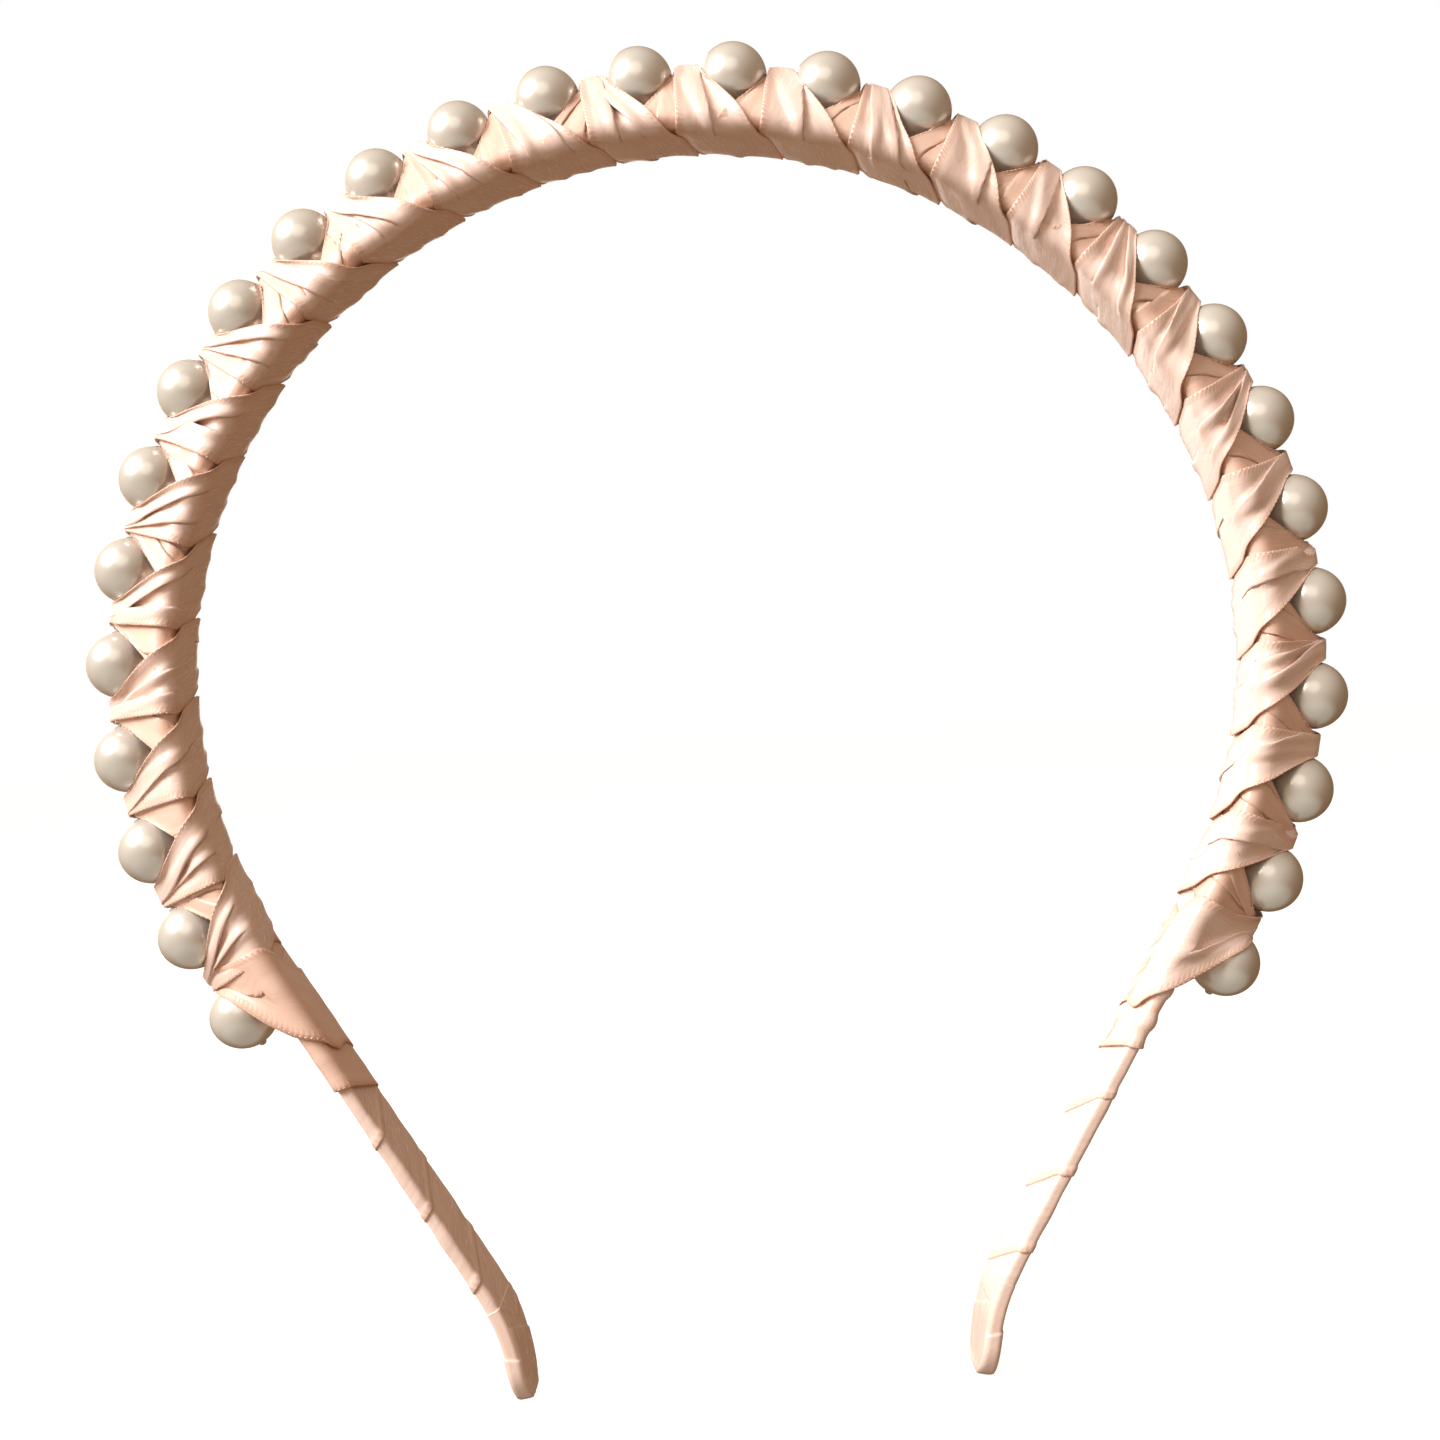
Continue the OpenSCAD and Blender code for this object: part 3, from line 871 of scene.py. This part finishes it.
def wrap_surface(sign, start, end, step, columns, seed):
    """A ribbon wound flat round the strip from start to end along u, each turn lapping the last."""
    rng = np.random.default_rng(seed)
    half_w, half_t = STRIP_W / 2 + 0.16, STRIP_T / 2 + 0.14
    outline = outline_length(half_w, half_t, WRAP_CORNER)
    slope = math.atan2(WRAP_PITCH, outline)
    w = np.linspace(-RIBBON_W / 2, RIBBON_W / 2, columns)
    low, high = start / math.sin(slope), end / math.sin(slope)
    a = np.linspace(low, high, int((high - low) / step) + 1)
    aa, ww = np.meshgrid(a, w, indexing="ij")
    s = aa * math.cos(slope) - ww * math.sin(slope)
    u = np.clip(aa * math.sin(slope) + ww * math.cos(slope), 0, U_FOLD + 3.0)
    y, o, ny, no = round_bar(sign * s, half_w, half_t, WRAP_CORNER)
    lap = 0.16 * smooth((ww - 3.7) / 0.7) + 0.03
    phase = rng.uniform(0, 6, 4)
    puff = 0.03 * np.sin(ww * 0.9 + aa * 0.11 + phase[0])
    puff += 0.02 * np.sin(ww * 1.7 - aa * 0.23 + phase[1])
    bow = 0.08 * np.cos(np.clip(ww / RIBBON_W, -0.5, 0.5) * math.pi) * np.abs(no)
    pressed = 0.3 + 0.7 * smooth((u - U_COLLAR) / 4)
    padding = 0.12 * (1 - smooth((u - U_PADDED) / 6))
    lift = (lap + bow + puff) * pressed + padding
    return place(sign * u, o + no * lift, y + ny * lift), a, w


def make_wrap(side, sign):
    """The wrap of one side in three pieces; only the bare tail's is seen, so only it is fine."""
    flex_end, tail_start = (CROWN_PEARLS_PER_SIDE + 1) * PITCH, U_LAST_PEARL - 6
    arm, arm_wrap = side + "_arm", side + "_arm_wrap"
    hidden, seen = (0.9, 9, SHADED_UNDER_SATIN), (0.22, 40, OVER_SATIN)
    pieces = [
        ("flex", -5.0, flex_end, hidden, side + "_flex", ["crown_wrap", arm_wrap]),
        ("arm", flex_end, tail_start, hidden, arm, [arm_wrap]),
        ("tail", tail_start, U_FOLD + 8.0, seen, arm, [arm_wrap]),
    ]
    seed = 31 if sign > 0 else 32
    for part, start, end, (step, columns, material), body, nodes in pieces:
        grid, along, across = wrap_surface(sign, start, end, step, columns, seed)
        name = "wrap_%s_%s" % (side, part)
        obj = ribbon_object(name, grid, along, across, WRAP_T, material, picots=False)
        settle(obj, body, nodes)


# ---- Ribbon folded over each tip -------------------------------------------------------------
COVER_CORNER = 0.45


def make_tip_fold(side, sign):
    """A sleeve of ribbon over the strip's round end, with a lapped diagonal edge and small gathers."""
    rng = np.random.default_rng(61 if sign > 0 else 62)
    first, last = U_FOLD, U_END + FOLD_HALF_W
    half_w, half_t = FOLD_HALF_W - 0.12, STRIP_T / 2 + 0.34
    end_r = FOLD_HALF_W
    rounding = U_END + end_r * np.sin(np.linspace(0.0, 1, 44) * math.pi / 2)
    u = np.concatenate([np.linspace(first, U_END - 0.15, 56), rounding])
    past = np.clip((u - U_END) / end_r, 0, 0.995)
    narrow = np.sqrt(1 - past**2)
    thin = np.sqrt(1 - np.clip((u - (last - 0.9)) / 0.9, 0, 0.97) ** 2)
    outline = outline_length(half_w, half_t, COVER_CORNER)
    s = np.linspace(0, outline, 120, endpoint=False)
    y, o, ny, no = round_bar(s, half_w, half_t, COVER_CORNER)
    uu, ss = np.meshgrid(u, s, indexing="ij")
    edge = first + 2.4 + 0.35 * (ss % (outline / 2))
    lap = 0.16 * smooth((uu - edge) / 0.25)
    gathers = 0.07 * np.sin(ss * 2.3 + rng.uniform(0, 6)) * smooth((uu - (last - 3)) / 2.5)
    lift = (0.02 + lap + gathers) * thin[:, None]
    skins = []
    for depth in (WRAP_T, 0.0):
        yy = (y[None] + ny[None] * (lift - depth)) * narrow[:, None]
        oo = (o[None] + no[None] * (lift - depth)) * thin[:, None]
        skins.append(place(sign * (uu - depth * smooth((uu - U_END) / end_r)), oo, yy))
    points = np.concatenate([skins[0][::-1], skins[1]]).reshape(-1, 3)
    face_uv = np.stack([uu, (ss - outline / 2) * 0.35], -1)
    uvs = np.concatenate([face_uv[::-1], face_uv]).reshape(-1, 2)
    rings = 2 * len(u)
    last_ring = (rings - 1) * len(s)
    caps = [np.arange(len(s))[None, ::-1], (last_ring + np.arange(len(s)))[None]]
    faces = [grid_faces(rings, len(s), wrap=True), *caps]
    obj = make_object("tip_cover_" + side, points, faces, uvs, OVER_SATIN)
    return settle(obj, side + "_arm", [side + "_tip_fold"])


# ---- Stage, lights and camera ------------------------------------------------------------------
LIT_POINT = Vector((0, 0, 0.085))


def area_light(name, location, size, energy, colour):
    """A round soft lamp aimed at the middle of the hoop."""
    data = bpy.data.lights.new(name, "AREA")
    data.shape = "DISK"
    data.size = size
    data.energy = energy
    data.color = colour
    lamp = bpy.data.objects.new(name, data)
    lamp.location = location
    lamp.rotation_euler = (LIT_POINT - lamp.location).to_track_quat("-Z", "Y").to_euler()
    bpy.context.scene.collection.objects.link(lamp)


SURROUND_LIGHT = 0.5
ROOM_DARK = (0.44, 0.24, 0.12)
ROOM_LIGHT = (1.0, 0.76, 0.56)
LIGHT_SIDE = (-0.7, -0.25, 0.67)
TABLE_SIDE = (0.0, -0.35, -0.94)
TABLE_LIGHT = (1.3, 1.22, 1.08)


def make_floor():
    """A pale round floor, which only the camera sees."""
    n = new_material("floor_white")
    where = n.add("ShaderNodeTexCoord").outputs["Object"]
    grain = n.noise(where, 60.0, (1, 1, 1), 4.0)
    n.feed("Base Color", n.mix(grain, (0.24, 0.25, 0.26), (0.26, 0.27, 0.28)))
    n.set(Roughness=0.85, Specular_IOR_Level=0.1)
    n.set(Emission_Color=(1, 1, 1, 1), Emission_Strength=0.92)
    rings, sides, reach = 24, 96, 6.0
    r = reach * np.linspace(0.002, 1, rings) ** 2
    turn = np.arange(sides) / sides * math.tau
    height = np.full((rings, sides), -0.00002)
    points = np.stack([np.outer(r, np.cos(turn)), np.outer(r, np.sin(turn)), height], -1).reshape(-1, 3)
    faces = [grid_faces(rings, sides, wrap=True), np.arange(sides)[None]]
    floor = make_object("floor", points, faces, points[:, :2], n.owner)
    floor.visible_diffuse = False
    floor.visible_glossy = False


def make_surround():
    """A studio that looks white, lights warmly from one side, and reflects a pale table below."""
    n = Nodes(bpy.data.worlds.new("studio"), "Background")
    bpy.context.scene.world = n.owner
    rays = n.add("ShaderNodeLightPath").outputs
    directions = n.add("ShaderNodeTexCoord").outputs["Generated"]
    seen, mirrored = rays["Is Camera Ray"], rays["Is Glossy Ray"]
    n.feed("Strength", n.ramp(seen, 0.0, 1.0, SURROUND_LIGHT, 1.0))
    room = n.mix(n.ramp(n.towards(directions, LIGHT_SIDE), -1.0, 1.0), ROOM_DARK, ROOM_LIGHT)
    table = n.math("MULTIPLY", n.ramp(n.towards(directions, TABLE_SIDE), 0.45, 0.8), mirrored)
    n.feed("Color", n.mix(seen, n.mix(table, room, TABLE_LIGHT), (1, 1, 1)))


CAMERA_HEIGHT = 0.0783
CAMERA_BACK = 0.188
CAMERA_ROLL = math.radians(3.06)
CAMERA_LENS = 39.95


def make_camera():
    """The photograph's viewpoint: from the front, level, and rolled a little."""
    data = bpy.data.cameras.new("camera")
    data.lens = CAMERA_LENS
    data.sensor_width = 36.0
    data.clip_start = 0.01
    camera = bpy.data.objects.new("camera", data)
    camera.location = (0, -CAMERA_BACK, CAMERA_HEIGHT)
    camera.rotation_euler = (math.pi / 2, CAMERA_ROLL, 0)
    bpy.context.scene.collection.objects.link(camera)
    bpy.context.scene.camera = camera


bpy.context.scene.view_settings.view_transform = "Standard"
make_camera()
make_floor()
make_surround()
area_light("key", (-0.58, -0.34, 0.55), size=0.5, energy=10.4, colour=(1.0, 0.985, 0.99))
area_light("fill", (-0.1, -0.7, 0.5), size=0.6, energy=0.7, colour=(1.0, 0.93, 0.86))
area_light("back", (-0.45, 0.8, 0.3), size=1.0, energy=4.0, colour=(1.0, 0.94, 0.88))

for number in range(1, 2 * PEARLS_PER_SIDE + 1):
    make_pearl(number)
for side, sign in (("left", -1), ("right", 1)):
    make_thread(side, sign)
    make_steel(side, sign)
    make_wrap(side, sign)
    make_tip_fold(side, sign)

over = Lashing(
    hand=1, seed=11, clearance=0.68, relief=(0.15, 0.5, 0.36), support=1.55,
    tilt=0.18, widths=(3.1, 7.7, 11.9), pleat_h=0.78,
)
under = Lashing(
    hand=-1, seed=23, clearance=0.15, relief=(0.05, 0.06, 0.08), support=0.95,
    tilt=0.03, widths=(3.1, 7.8, 10.8), pleat_h=0.2,
)
lash("over", over, OVER_SATIN, thick=0.13, rows=150, columns=34)
lash("under", under, SHADED_UNDER_SATIN, thick=0.12, rows=90, columns=22)
